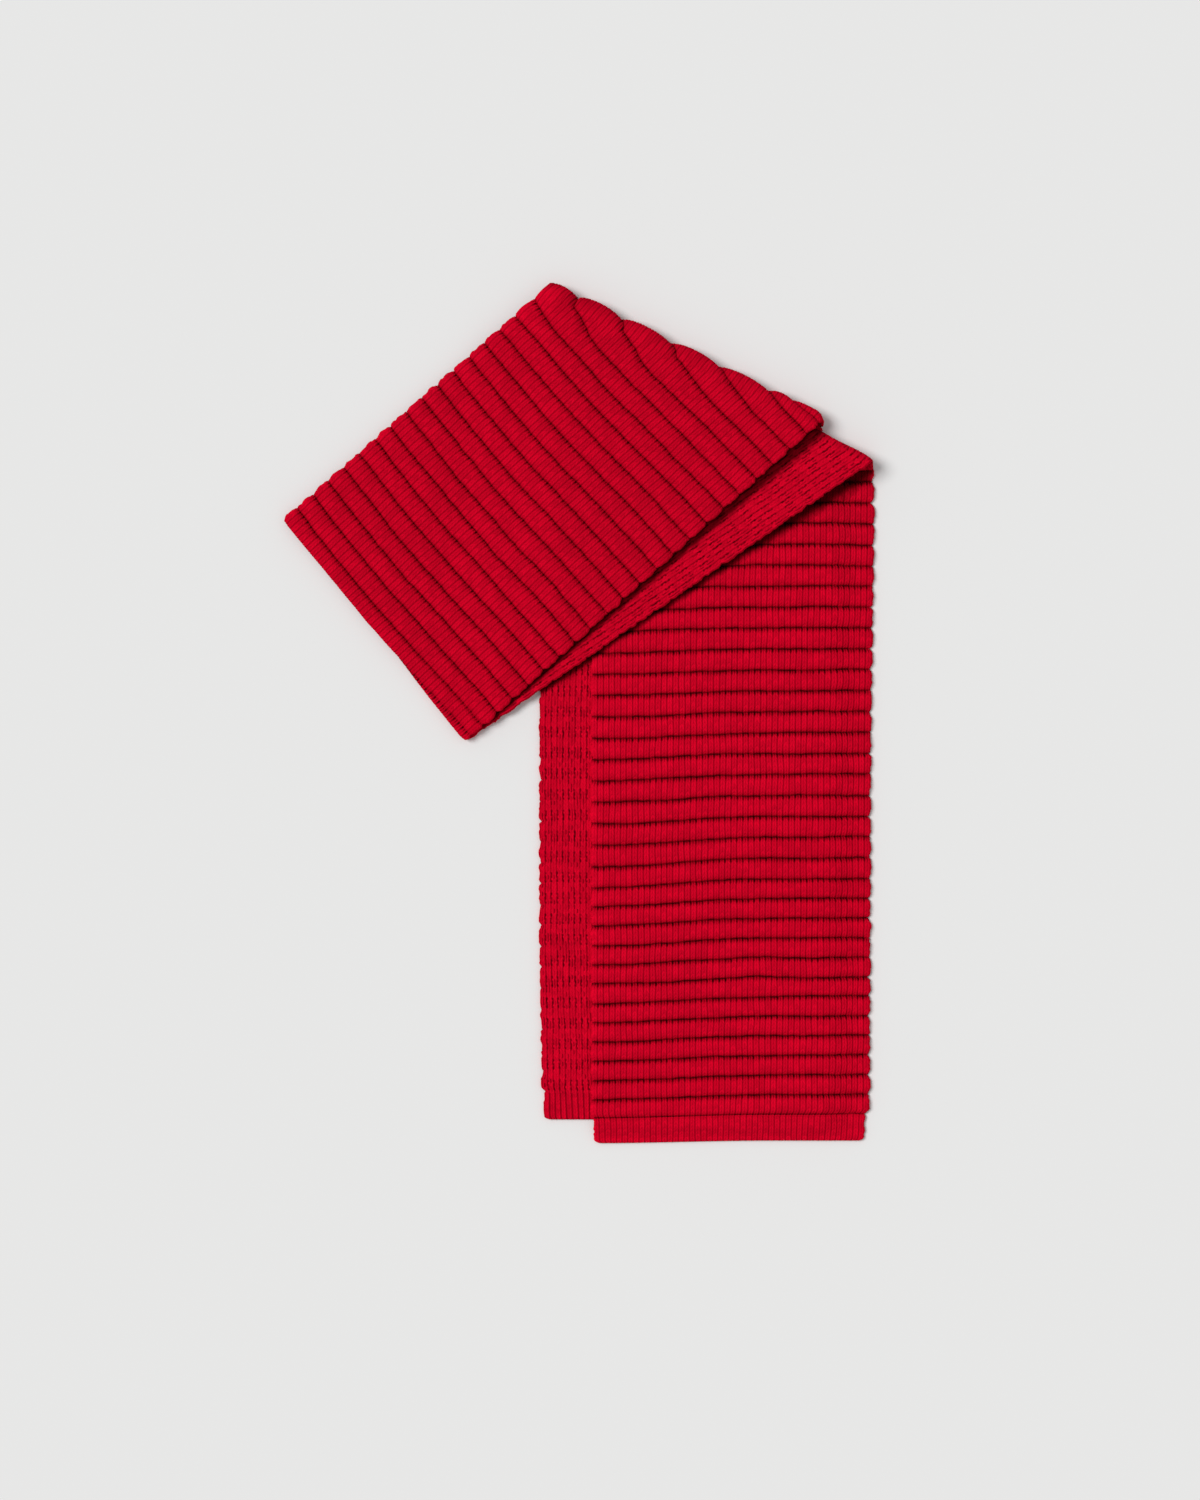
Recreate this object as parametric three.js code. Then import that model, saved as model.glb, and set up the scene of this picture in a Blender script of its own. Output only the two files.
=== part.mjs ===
// A knit scarf with raised cross ribs, folded in half along its length and laid flat.
// The doubled strip is then turned down over itself along a slanting fold.
// Its two ends run straight down, and the middle of the scarf slants away to the left.
// Sizes are in millimetres: +X to the right, +Y away from the hems, +Z up from the surface.
import * as THREE from "three";

// Cloth
const RIB_BASE = 1.8; // thickness between two ribs
const RIB_RISE = 3.8; // how far a rib stands above that
const RIBBED = RIB_BASE + RIB_RISE;
const PLAIN = 5; // thickness where the smooth side is up and the ribs lie pressed underneath
const WAVE = 0.9; // how far the smooth side dips between two ribs
const HEM = 3.2; // thickness of the plain band at each end
const SEAM = 0.3; // gap between two pieces
const FALL_TIP = 3; // a straight end's cloth stops this far below the tip of its slanting cut
const WRAP_TIP = 0.15; // and a slanting layer's this share of a rib before its own tip
const RIB_END = 8; // length over which a rib's end rounds off at the selvedge
const SCALLOP = 2.4; // how far a rib's end stands out past the crease beside it

// Rib spacing
const FALL_FIRST_RIBS = 12; // ribs next to the hem, which lie closer together
const FALL_FIRST_PITCH = 16.9;
const FALL_PITCH = 18;
const WRAP_PITCH = 17.9;
const WRAP_EVEN_RIBS = 8; // past these the lower edge is stretched a little
const WRAP_WIDE_PITCH = 19.2;
const FOLD_FIRST_RIB = 17.2; // rib of the top layer at the left end of its slanting fold
const FOLD_RIBS = 5.3; // ribs that the fold cuts through
const FOLD_AROUND = 1.1; // ribs that pass round it

// One rib from its crease on the hem side to the next crease: share of the pitch, share of the rise
const RIB_PROFILE = [
  { phase: 0, height: 0 },
  { phase: 0.13, height: 0.85 },
  { phase: 0.48, height: 1 },
  { phase: 0.86, height: 0.66 },
];

// The two straight ends, from the hem upwards: their selvedges at each height
const FRONT_HEM_Y = -370;
const FRONT_BAND_Y = -345.6; // where the plain band ends and the ribs start
const FRONT_RIBS = 31; // ribs that show below the slanting part
const FRONT_EDGES = [
  { y: -370, left: 14.5, right: 247 },
  { y: -348, left: 14, right: 247.8 },
  { y: -343, left: 12.5, right: 251.2 },
  { y: 0, left: 12.5, right: 252.6 },
  { y: 150, left: 12.5, right: 255 },
  { y: 210.3, left: 12.5, right: 254.5 },
  { y: 337.3, left: 12.5, right: 254.5 },
];
const BACK_HEM_Y = -351;
const BACK_BAND_Y = -327;
const BACK_RIBS = 22; // ribs that show beside the front end
const BACK_EDGES = [
  { y: -351, left: -28.5, right: 205 },
  { y: -329, left: -29, right: 207 },
  { y: -324, left: -30, right: 208 },
  { y: -190, left: -32.4, right: 208 },
  { y: 0, left: -32.4, right: 209 },
  { y: 240.6, left: -26, right: 210.5 },
  { y: 357.2, left: -22.8, right: 210.5 },
];

// Left side of the front ribs hangs a little lower than the right
const SAG_EDGES = [
  { y: -346, sag: 4.3 },
  { y: -130, sag: 7.8 },
  { y: 90, sag: 2.6 },
  { y: 340, sag: 0 },
];
const SAG_REACH = 0.65; // share of the width over which it fades out

// The fold in the scarf's middle, at the far left
const END_UPPER = [-255, 164];
const END_LOWER = [-97.1, -25.9];
const END_REACH = 6; // how far the rounded edge stands out past the flat cloth

// The slanting folds: where the rounded part starts, on its lower and upper layer
const OUTER_FOLD = { reach: 12, low: [[-22.8, 357.2], [210.5, 241.8]], high: [[-31.7, 361.6], [203.9, 245]] };
const INNER_FOLD = { reach: 7, low: [[12.5, 337.3], [254.5, 210.3]], high: [[5.4, 341], [250, 212.6]] };

// Stacked heights
const ON_BACK = PLAIN + SEAM; // underside of cloth that lies on the back end
const ON_FRONT = ON_BACK + RIBBED + SEAM; // and of cloth that lies on the front end
const ON_LOWER = PLAIN + SEAM; // rise from one slanting layer to the next
const CLIMB = 62; // length over which a layer climbs a step
const CLIMB_MARGIN = 14; // distance before the step at which it is all the way up
const UPPER_LEAD = 14; // the top layer starts each climb this much earlier
const DRAPE_MARGIN = 4; // distance past the back end at which the front end starts to drop
const DRAPE_SIDE = 30; // length of that drop at its side
const DRAPE_HEM = 12; // length of that drop at the hem
const DROOP_MARGIN = 23; // the same for the top layer past the layer under it
const DROOP = 24;
const PUFF = 5; // how far the open loop at the right stands up
const PUFF_CENTRE = [252, 222];
const PUFF_RADIUS = 42;

const lerp = (a, b, t) => a + (b - a) * t;
const mix = (p, q, t) => [lerp(p[0], q[0], t), lerp(p[1], q[1], t)];
const smooth = (t) => {
  const c = Math.min(1, Math.max(0, t));
  return c * c * (3 - 2 * c);
};
const range = (count, from, to) => Array.from({ length: count + 1 }, (_, i) => lerp(from, to, i / count));

// A value from a table whose rows rise in the named column
function lookup(table, key, at, value) {
  const last = table.length - 1;
  if (at <= table[0][key]) return table[0][value];
  if (at >= table[last][key]) return table[last][value];
  const i = table.findIndex((row) => row[key] > at) - 1;
  const t = (at - table[i][key]) / (table[i + 1][key] - table[i][key]);
  return lerp(table[i][value], table[i + 1][value], t);
}

// Where the line from p to q crosses the line from a to b, as a share of the way from p to q
function crossing(p, q, a, b) {
  const side = (point) => (b[0] - a[0]) * (point[1] - a[1]) - (b[1] - a[1]) * (point[0] - a[0]);
  return side(p) / (side(p) - side(q));
}

// The point a distance along the line from p towards q, which may lie past q
function along(p, q, distance) {
  const length = Math.hypot(q[0] - p[0], q[1] - p[1]);
  return mix(p, q, distance / length);
}

// Height of a rib at a place along the cloth, counted in ribs
function ribHeight(ribs) {
  const phase = ribs - Math.floor(ribs);
  const closed = [...RIB_PROFILE, { phase: 1, height: 0 }];
  return lookup(closed, "phase", phase, "height");
}

// A rib's end rounds off towards the selvedge
function endRound(distance) {
  const t = 1 - Math.min(1, Math.max(0, distance) / RIB_END);
  return 0.3 + 0.7 * Math.sqrt(1 - t * t);
}

// Rib positions for the outer rows: the profile's phases over a span of ribs
function ribRows(from, to) {
  const rows = [];
  for (let rib = Math.floor(from); rib <= to; rib++)
    for (const { phase } of RIB_PROFILE) if (rib + phase > from && rib + phase < to) rows.push(rib + phase);
  return [from, ...rows, to];
}

// Undersides of the layers
const climb = (x, edge) => smooth((x - edge + CLIMB) / (CLIMB - CLIMB_MARGIN));
const backLeft = BACK_EDGES[3].left;
const frontLeft = FRONT_EDGES[2].left;
function puff(x, y) {
  const away = Math.hypot(x - PUFF_CENTRE[0], y - PUFF_CENTRE[1]) / PUFF_RADIUS;
  return PUFF * Math.exp(-(away ** 2));
}

function frontUnder(x, y) {
  const side = smooth((x - lookup(BACK_EDGES, "y", y, "right") - DRAPE_MARGIN) / DRAPE_SIDE);
  const hem = smooth((BACK_HEM_Y - DRAPE_MARGIN - y) / DRAPE_HEM);
  return ON_BACK * (1 - side) * (1 - hem);
}

const lowerUnder = (x, y) =>
  ON_BACK * climb(x, backLeft) + (ON_FRONT - ON_BACK) * climb(x, frontLeft) + puff(x, y);

// The top layer droops past the upper edge of the layer below it
function upperUnder(x, y) {
  const [a, b] = [END_UPPER, INNER_FOLD.high[0]];
  const length = Math.hypot(b[0] - a[0], b[1] - a[1]);
  const outside = ((b[0] - a[0]) * (y - a[1]) - (b[1] - a[1]) * (x - a[0])) / length;
  const held = 1 - smooth((outside - DROOP_MARGIN) / DROOP);
  const ground = ON_BACK * climb(x, backLeft);
  return ground + held * (lowerUnder(x + UPPER_LEAD, y) + ON_LOWER - ground);
}

// One closed body between an outer and an inner grid of points, whose edges run side by side
function bodyBetween(outer, inner) {
  const points = [];
  const number = (grid) => grid.map((row) => row.map((point) => points.push(point) - 1));
  const [top, bottom] = [number(outer), number(inner)];
  const faces = [];
  const cover = (grid, flip) => {
    for (let i = 0; i + 1 < grid.length; i++)
      for (let j = 0; j + 1 < grid[i].length; j++) {
        const [a, b, c, d] = [grid[i][j], grid[i + 1][j], grid[i + 1][j + 1], grid[i][j + 1]];
        faces.push(...(flip ? [[a, c, b], [a, d, c]] : [[a, b, c], [a, c, d]]));
      }
  };
  cover(top, false);
  cover(bottom, true);
  const gap = (i, j) => new THREE.Vector3(...points[i]).distanceTo(new THREE.Vector3(...points[j]));
  const zip = (upper, lower) => {
    let [i, j] = [0, 0];
    while (i + 1 < upper.length || j + 1 < lower.length) {
      const stepUpper = i + 1 < upper.length ? gap(upper[i + 1], lower[j]) : Infinity;
      const stepLower = j + 1 < lower.length ? gap(upper[i], lower[j + 1]) : Infinity;
      if (stepUpper <= stepLower) faces.push([upper[i], upper[++i], lower[j]]);
      else faces.push([upper[i], lower[j + 1], lower[j++]]);
    }
  };
  const column = (grid, j) => grid.map((row) => row.at(j));
  zip(top[0], bottom[0]);
  zip(column(top, -1), column(bottom, -1));
  zip(top.at(-1).toReversed(), bottom.at(-1).toReversed());
  zip(column(top, 0).reverse(), column(bottom, 0).reverse());
  const volume = faces.reduce((sum, [i, j, k]) => {
    const [a, b, c] = [i, j, k].map((n) => new THREE.Vector3(...points[n]));
    return sum + a.dot(b.cross(c));
  }, 0);
  const geometry = new THREE.BufferGeometry();
  geometry.setAttribute("position", new THREE.Float32BufferAttribute(points.flat(), 3));
  geometry.setIndex(faces.flatMap((face) => (volume < 0 ? face.toReversed() : face)));
  geometry.computeVertexNormals();
  return geometry;
}

// A straight end: rows run across it, and the slanting fold cuts their right side off near the top
function fallRow(edges, fold, y) {
  const left = [lookup(edges, "y", y, "left"), y];
  const right = [lookup(edges, "y", y, "right"), y];
  const cut = crossing(left, right, ...fold.low);
  if (cut <= 0 || cut >= 1) return { left, right };
  return { left, right: mix(left, right, cut - (2 * SEAM) / (right[0] - left[0])) };
}

function frontY(ribs) {
  const first = Math.min(ribs, FALL_FIRST_RIBS);
  return FRONT_BAND_Y + FALL_FIRST_PITCH * first + FALL_PITCH * (ribs - first);
}

const sag = (across, y) => lookup(SAG_EDGES, "y", y, "sag") * (1 - smooth(across / SAG_REACH));

// Columns across a ribbed piece: close together at its two rounded selvedges
const ribColumns = (width, middle) => [
  ...[0, 2.5, RIB_END].map((d) => d / width),
  ...middle,
  ...[RIB_END, 2.5, 0].map((d) => 1 - d / width),
];

function frontFall() {
  const top = INNER_FOLD.low[0][1] - FALL_TIP;
  const hiddenTop = frontY(FRONT_RIBS);
  const rowAt = (y) => fallRow(FRONT_EDGES, INNER_FOLD, y);
  const surface = (row, columns, rise) => {
    const width = row.right[0] - row.left[0];
    return columns.map((across) => {
      const x = lerp(row.left[0], row.right[0], across);
      return rise(x, across, width);
    });
  };
  const hemRows = [0, 0.2, 0.45, 0.75, 0.97].map((t) => lerp(FRONT_HEM_Y, FRONT_BAND_Y, t));
  const columns = (row) => {
    const width = row.right[0] - row.left[0];
    if (width < 100) return range(9, 0, 1);
    return ribColumns(width, [0.25, 0.5, 0.8, 0.9]);
  };
  const outer = [];
  for (const y of hemRows) {
    const row = rowAt(y);
    outer.push(surface(row, columns(row), (x) => [x, y, frontUnder(x, y) + HEM]));
  }
  for (const ribs of ribRows(0, FRONT_RIBS)) {
    const row = rowAt(frontY(ribs));
    const height = ribHeight(ribs);
    outer.push(
      surface(row, columns(row), (x, across, width) => {
        const y = frontY(ribs) - sag(across, frontY(ribs));
        const edge = Math.min(across, 1 - across) * width;
        const out = (across < 0.5 ? -1 : 1) * (edge < 1 ? SCALLOP * (height - 0.6) : 0);
        return [x + out, y, frontUnder(x, y) + RIB_BASE + RIB_RISE * height * endRound(edge)];
      }),
    );
  }
  const hiddenRows = range(12, INNER_FOLD.low[1][1] - SEAM, top);
  for (const y of hiddenRows) {
    const row = rowAt(y);
    outer.push(surface(row, columns(row), (x) => [x, y, frontUnder(x, y) + PLAIN]));
  }
  const underRows = [...hemRows, ...range(11, frontY(0.5), hiddenTop), ...hiddenRows];
  const inner = underRows.map((y) => {
    const row = rowAt(y);
    return surface(row, [0, 0.4, 0.82, 0.87, 0.92, 0.96, 1], (x) => [x, y, frontUnder(x, y)]);
  });
  return bodyBetween(outer, inner);
}

function backFall() {
  const top = OUTER_FOLD.low[0][1] - FALL_TIP;
  const rowPoints = (y, columns, height) => {
    const row = fallRow(BACK_EDGES, OUTER_FOLD, y);
    return columns.map((across) => [lerp(row.left[0], row.right[0], across), y, height]);
  };
  const columns = [0, 0.012, 0.1, 0.22, 1];
  const hemRows = [BACK_HEM_Y, BACK_BAND_Y - 1];
  const visible = range(BACK_RIBS * 3, 0, BACK_RIBS);
  const outer = hemRows.map((y) => rowPoints(y, columns, HEM));
  for (const ribs of visible) {
    const wave = WAVE * (0.5 - 0.5 * Math.cos(2 * Math.PI * ribs));
    const points = rowPoints(BACK_BAND_Y + ribs * WRAP_PITCH, columns, PLAIN - WAVE + wave);
    points[0][0] -= wave;
    points[0][2] -= 1.5;
    outer.push(points);
  }
  const corner = OUTER_FOLD.low[1][1] - SEAM;
  const hiddenStart = BACK_BAND_Y + (BACK_RIBS + 0.5) * WRAP_PITCH;
  const hiddenRows = [...range(2, hiddenStart, corner), ...range(5, corner, top).slice(1)];
  outer.push(...hiddenRows.map((y) => rowPoints(y, columns, PLAIN)));
  const inner = [BACK_HEM_Y, ...range(4, BACK_BAND_Y, hiddenRows[0]), ...hiddenRows.slice(1)];
  return bodyBetween(
    outer,
    inner.map((y) => rowPoints(y, [0, 0.5, 1], 0)),
  );
}

// A slanting layer: rows run from its upper to its lower selvedge, and the fold cuts their upper side off
function wrapRow(fold, lowerEnd, ribs) {
  const stretched = Math.max(ribs - WRAP_EVEN_RIBS, 0);
  const upper = along(END_UPPER, fold.high[0], ribs * WRAP_PITCH);
  const lower = along(END_LOWER, lowerEnd, (ribs - stretched) * WRAP_PITCH + stretched * WRAP_WIDE_PITCH);
  const cut = crossing(lower, upper, ...fold.high);
  const length = Math.hypot(upper[0] - lower[0], upper[1] - lower[1]);
  return { upper: cut > 0 && cut < 1 ? mix(lower, upper, cut - SEAM / length) : upper, lower };
}

// How many ribs a slanting layer has along its lower selvedge
function ribsAlong(lowerEnd) {
  const length = Math.hypot(lowerEnd[0] - END_LOWER[0], lowerEnd[1] - END_LOWER[1]);
  return WRAP_EVEN_RIBS + (length - WRAP_EVEN_RIBS * WRAP_PITCH) / WRAP_WIDE_PITCH;
}

function wrapGrid(fold, lowerEnd, rows, columns, point) {
  return rows.map((ribs) => {
    const { upper, lower } = wrapRow(fold, lowerEnd, ribs);
    const width = Math.hypot(upper[0] - lower[0], upper[1] - lower[1]);
    const edge = (across) => Math.min(across, 1 - across) * width;
    return columns(width).map((across) => point(mix(upper, lower, across), ribs, edge(across)));
  });
}

const flatStart = (END_REACH + SEAM) / WRAP_PITCH;

function lowerWrap() {
  const lowerEnd = INNER_FOLD.high[1];
  const rows = range(28, flatStart, ribsAlong(lowerEnd) - WRAP_TIP);
  const columns = () => range(11, 0, 1);
  const layer = (thickness) =>
    wrapGrid(INNER_FOLD, lowerEnd, rows, columns, ([x, y]) => [x, y, lowerUnder(x, y) + thickness]);
  return bodyBetween(layer(PLAIN), layer(0));
}

function upperWrap() {
  const lowerEnd = OUTER_FOLD.high[1];
  const last = ribsAlong(lowerEnd) - WRAP_TIP;
  const ribColumnsAt = (width) => (width > 60 ? ribColumns(width, [0.3, 0.5, 0.7]) : range(8, 0, 1));
  const ribbed = ([x, y], ribs, edge) => {
    const rise = ribHeight(-ribs) * endRound(edge);
    return [x, y, upperUnder(x, y) + RIB_BASE + RIB_RISE * rise];
  };
  const outer = wrapGrid(OUTER_FOLD, lowerEnd, ribRows(flatStart, last), ribColumnsAt, ribbed);
  const inner = wrapGrid(
    OUTER_FOLD,
    lowerEnd,
    [...range(15, flatStart, FOLD_FIRST_RIB - 1), ...range(20, FOLD_FIRST_RIB - 0.7, last)],
    () => range(11, 0, 1),
    ([x, y]) => [x, y, upperUnder(x, y)],
  );
  return bodyBetween(outer, inner);
}

// A rounded fold: half a ring between the ends of a lower and an upper layer
function turn({ low, high, reach, wall, lowHeights, highHeights, rows, rib }) {
  const [from, to] = low;
  const length = Math.hypot(to[0] - from[0], to[1] - from[1]);
  const out = [-(to[1] - from[1]) / length, (to[0] - from[0]) / length];
  const grid = (steps, inset) =>
    rows.map((s) => {
      const [a, b] = [mix(...high, s), mix(...low, s)];
      const [highUnder, highTop] = highHeights(...a);
      const [lowUnder, lowTop] = lowHeights(...b);
      const [top, bottom] = inset ? [highUnder, lowTop] : [highTop, lowUnder];
      return range(steps, 0, 1).map((q) => {
        const angle = Math.PI * q;
        const dip = inset ? 0 : rib(s, q) * Math.sin(angle);
        const [x, y] = mix(a, b, q);
        const away = (reach - inset) * Math.sin(angle) - dip;
        const sink = inset ? 0 : rib(s, q) * Math.max(0, Math.cos(angle));
        const z = lerp(bottom, top, 0.5 + 0.5 * Math.cos(angle)) - sink;
        return [x + out[0] * away, y + out[1] * away, z];
      });
    });
  return bodyBetween(grid(10, 0), grid(8, wall));
}

function upperTurn() {
  return turn({
    ...OUTER_FOLD,
    wall: PLAIN,
    lowHeights: () => [0, PLAIN],
    highHeights: (x, y) => [upperUnder(x, y), upperUnder(x, y) + RIBBED],
    rows: range(44, 0, 1),
    rib: (s, q) => RIB_RISE * (1 - ribHeight(-(FOLD_FIRST_RIB + FOLD_RIBS * s + FOLD_AROUND * q))),
  });
}

function lowerTurn() {
  return turn({
    ...INNER_FOLD,
    wall: PLAIN,
    lowHeights: (x, y) => [frontUnder(x, y), frontUnder(x, y) + PLAIN],
    highHeights: (x, y) => [lowerUnder(x, y), lowerUnder(x, y) + PLAIN],
    rows: range(20, 0, 1),
    rib: () => 0,
  });
}

function endTurn() {
  const inside = (end, fold) => along(end, fold.high[END_UPPER === end ? 0 : 1], END_REACH);
  const edge = [inside(END_LOWER, OUTER_FOLD), inside(END_UPPER, OUTER_FOLD)];
  return turn({
    low: edge,
    high: edge,
    reach: END_REACH,
    wall: PLAIN,
    lowHeights: (x, y) => [lowerUnder(x, y), lowerUnder(x, y) + PLAIN],
    highHeights: (x, y) => [upperUnder(x, y), upperUnder(x, y) + RIBBED],
    rows: range(14, 0, 1),
    rib: () => 0,
  });
}

const RED = { ribbed: 0xb4031e, smooth: 0xb9031f };

function piece(name, geometry, color) {
  const material = new THREE.MeshStandardMaterial({ color, roughness: 0.9, metalness: 0 });
  const mesh = new THREE.Mesh(geometry, material);
  mesh.name = name;
  return mesh;
}

const scarf = new THREE.Group();
scarf.add(
  piece("back_fall", backFall(), RED.smooth),
  piece("front_fall", frontFall(), RED.ribbed),
  piece("lower_wrap", lowerWrap(), RED.smooth),
  piece("upper_wrap", upperWrap(), RED.ribbed),
  piece("lower_turn", lowerTurn(), RED.smooth),
  piece("upper_turn", upperTurn(), RED.ribbed),
  piece("end_turn", endTurn(), RED.ribbed),
);

// The origin is the centre of the footprint
const box = new THREE.Box3().setFromObject(scarf);
scarf.position.set(-(box.min.x + box.max.x) / 2, -(box.min.y + box.max.y) / 2, -box.min.z);

export default scarf;
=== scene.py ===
"""A knit scarf with raised cross ribs, folded in half along its length, turned down over itself, laid flat.

The scarf is two long strips that meet at the fold in its middle. Each place on a strip is given by across, a
share of its width, and ribs, counted along it from that fold. Sizes are in millimetres until a mesh is made.
"""

import math

import bpy
import numpy as np
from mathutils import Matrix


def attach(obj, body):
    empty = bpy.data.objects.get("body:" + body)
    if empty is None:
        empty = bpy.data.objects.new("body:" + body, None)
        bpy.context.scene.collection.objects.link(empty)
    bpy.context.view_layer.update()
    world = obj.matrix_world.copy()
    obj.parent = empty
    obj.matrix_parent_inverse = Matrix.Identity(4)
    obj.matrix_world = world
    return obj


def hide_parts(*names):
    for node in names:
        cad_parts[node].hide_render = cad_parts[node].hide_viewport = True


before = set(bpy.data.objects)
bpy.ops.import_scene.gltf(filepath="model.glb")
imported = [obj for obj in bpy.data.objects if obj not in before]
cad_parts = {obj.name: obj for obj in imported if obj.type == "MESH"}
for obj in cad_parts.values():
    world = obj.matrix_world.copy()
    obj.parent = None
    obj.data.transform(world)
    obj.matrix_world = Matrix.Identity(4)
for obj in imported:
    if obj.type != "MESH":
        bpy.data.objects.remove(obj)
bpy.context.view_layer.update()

MM = 0.001
CENTRE = np.array([-0.4, 0.05])  # middle of the footprint, which is the frame's origin

# Cloth
WIDTH = 240.0
MID = 2.5  # the wall's middle above its underside
FLOOR_GAP = 0.2
CREST = 3.8  # a rib's top above the wall's middle, and the crease between two ribs
CREASE = -1.7
FLAT_CREST = 0.6  # share of that height where the ribs have no depth
PRESSED_CREST = 2.5  # the same top and crease where the ribs lie underneath
PRESSED_CREASE = -0.4
EDGE_CREASE = 0.2  # the crease at a selvedge, and how far in it deepens
EDGE_CREASE_WIDTH = 3
RIB_POWER = 1.1  # power of the sine wave across a rib
RIB_VARIETY = 0.07  # how much fuller some ribs are than others
SMOOTH = 2.4  # the smooth side, on the other side of the wall's middle
WAVE = 0.9  # how far it dips behind a crease
OPEN_WAVE = 0.35  # share of that dip where the ribs aren't pressed
RIB_END = 8  # length over which a rib's end rounds off
RIB_END_RISE = 0.3  # share of the rise that is left at its very end

# Plain bands
BAND = 24.4  # length of a plain band
HEM_HALF = 1.6  # half its thickness
HEM_LIFT = 0.4  # how far its underside stays off what it lies on
HEM_ROUND = 1.8  # length over which a hem's edge rounds off
HEM_THIN = 0.12  # share of the thickness at that edge
HEM_CORNER = 4.5  # radius of a hem's corners, seen from above
HEM_CORNER_REACH = 12
BEAD = 0.18  # how much thicker the band is beside its edge
BEAD_PLACE = 2.6
BEAD_WIDTH = 1.2
BAND_START = 2.5  # length over which the last crease becomes the band

# Selvedges
EDGE_BULGE = 1.3  # roundness of a selvedge
EDGE_INSET = 1.1
SERRATION = 0.85  # unevenness of a selvedge from one stitch row to the next
EDGE_SHIFT_REACH = 3  # how far in from the selvedge that fades out

# Stitches
WALES = 48  # stitches across the scarf
FACE_COURSES = 7  # stitch rows in a rib, along its own curve
BACK_COURSES = 5
COURSE = 3.1  # length of a stitch in the plain bands
RELIEF = 0.6  # depth of the grooves between stitches
BACK_RELIEF = 0.22
MEAN_HEIGHT = 0.7  # mean of that relief, from 0 to 1
RELIEF_MARGIN = 4  # width beside a selvedge where it fades out
UNEVEN_RELIEF = 0.35
SWAY = 0.6  # how far the lines of stitches stray sideways
SWAY_MARGIN = 10
WOBBLE = 0.65  # how far a crease strays along the strip, in three sizes of wave
FINE_WOBBLE = 0.3
STITCH_WOBBLE = 0.5

# Rib spacing
PITCH = 17.9  # of the back end and the upper layer
FALL_FIRST_RIBS = 12  # ribs next to the front hem, which lie closer together
FALL_FIRST_PITCH = 16.9
FALL_PITCH = 18.0
WIDE_PITCH = 19.2  # of the upper layer's lower edge, where it is stretched a little

# The two straight ends
FRONT_BAND_Y = -346.6
FRONT_SHOWN = 31  # ribs that show
FRONT_TOP_Y = 199.2  # height from which the hidden ribs are counted
FRONT_EDGES = np.array(
    [  # height, left selvedge, right selvedge
        (-370, 14.5, 247),
        (-348, 14, 247.8),
        (-343, 12.5, 251.2),
        (0, 12.5, 252.6),
        (150, 12.5, 255),
        (210.3, 12.5, 254.5),
        (337.3, 12.5, 254.5),
    ]
)
SAG_EDGES = np.array(
    [  # height, how much lower the left side hangs
        (-371, 2.2),
        (-347, 3.2),
        (-328, 4.4),
        (-300, 5.2),
        (-130, 7.8),
        (90, 2.6),
        (340, 0),
    ]
)
SAG_REACH = 0.65  # share of the width over which that fades out
BACK_HEM_Y = -351.0
BACK_BAND_Y = -327.0
BACK_SHOWN = 22.5
BACK_EDGES = np.array(
    [  # height, left selvedge, right selvedge
        (-351, -28.5, 205),
        (-329, -29, 207),
        (-324, -30, 208),
        (-190, -32.4, 208),
        (0, -32.4, 209),
        (240.6, -26, 210.5),
        (357.2, -22.8, 210.5),
    ]
)

# The slanting fold of each strip: its left and right end on the slanting layer, and on the straight end
FRONT_HIGH = np.array([(5.4, 341.0), (250.0, 212.6)])
FRONT_LOW = np.array([(12.5, 337.3), (254.5, 210.3)])
BACK_HIGH = np.array([(-31.7, 361.6), (203.9, 245.0)])
BACK_LOW = np.array([(-22.8, 357.2), (210.5, 241.8)])
FRONT_AROUND = 0.8  # ribs that pass round the front strip's fold
CORNER_REACH = 0.55  # share of a fold's reach that is left at its right corner
LOBE_PEAK = 0.42  # where a rib reaches furthest out on the fold, as a share of it
LOBE_START = 0.12  # share of the width over which the lobes begin
LATE_TURN = 0.78  # past this share of the width the back strip's fold takes up more ribs
LATE_TURN_WIDTH = 0.17

# The fold in the scarf's middle, seen from above
END_UPPER = np.array([-255.0, 164.0])
END_LOWER = np.array([-97.1, -25.9])
END_REACH = 6.0  # the two layers lie flat up to this far from it
END_START = END_REACH / PITCH
END_SHIFT = 0.43  # how far the ribs have slid round that fold at its lower end, in ribs

# The ribs' bow on the slanting layer, and their bend where they meet its upper fold
BOW = 0.13  # how far they bow from straight lines, in ribs
BOW_WAVES = 0.75  # waves of it from the upper edge to the lower one
BOW_START = 0.8  # ribs over which it begins
FOLD_RIBS = (16.28, 5.5, -0.35)  # rib where the fold starts, in terms of 1, across and its square
FOLD_SHIFT = (0.38, -0.52, 0.35)  # how far the ribs bend out to it, in ribs, in the same terms
BEND_RIBS = 1.3  # length of that bend
BEND_POWER = 2.5

# Painted shade beside and under the lower edge of a layer that lies on another one, darkening the colour of
# the cloth below
RECESS = 0.85  # how much darker the cloth gets
RECESS_UNDER = 0.4  # share of it that is left deep under the edge, and how deep that is
RECESS_DEPTH = 25.0
RECESS_START = 30  # distance from the scarf's middle fold over which it begins
RECESS_RAGGED = 0.35
RECESS_RAGGED_SIZE = 3
EDGE_GAP = 4.5  # width of the shade beside the edge
PUFF_GAP = 0.8  # how much wider it gets for each millimetre that the fold stands up

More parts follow.
